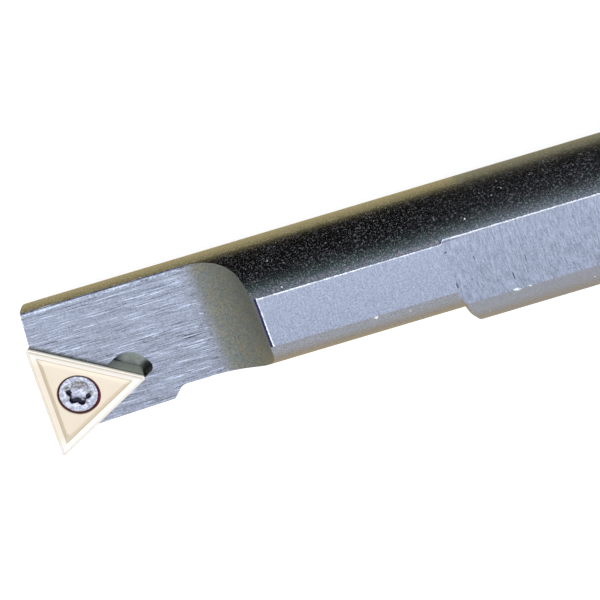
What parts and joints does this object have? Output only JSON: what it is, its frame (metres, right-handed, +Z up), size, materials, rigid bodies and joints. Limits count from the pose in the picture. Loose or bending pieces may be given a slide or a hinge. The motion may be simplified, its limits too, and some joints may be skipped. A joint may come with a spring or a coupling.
{
  "type": "boring bar",
  "caption": "Round steel boring bar with a relieved neck, a milled head and a triangular insert clamped by a countersunk screw.",
  "frame": {"origin": "on the shank's axis, at the rear end face", "axes": "+X along the bar from the rear end to the cutting head, +Y towards the side that the cutting corner stands out on, +Z up through the top flat, with the cutting corner at Z 0"},
  "size_m": [0.1524, 0.0141, 0.0112],
  "materials": {
    "bar_steel": "satin, milled flats with cutter marks",
    "coated_carbide": "pale gold hard coating",
    "screw_steel": "satin"
  },
  "bodies": {
    "bar": {"bar": "bar_steel"},
    "insert": {"insert": "coated_carbide"},
    "screw": {"insert_screw": "screw_steel"}
  },
  "joints": [
    {"name": "insert_lift", "type": "slide", "parent": "bar", "child": "insert", "axis": [0, 0.1149, 0.9934], "range_m": [0, 0.00315]},
    {"name": "screw_turn", "type": "hinge", "parent": "insert", "child": "screw", "pos_m": [0.14899, 0.00258, 0.00062], "axis": [0, 0.1149, 0.9934], "range_deg": [0, 2520]}
  ],
  "couplings": [
    {"joint": "screw_turn", "follows": "insert_lift", "rad_per_m": 13963}
  ]
}
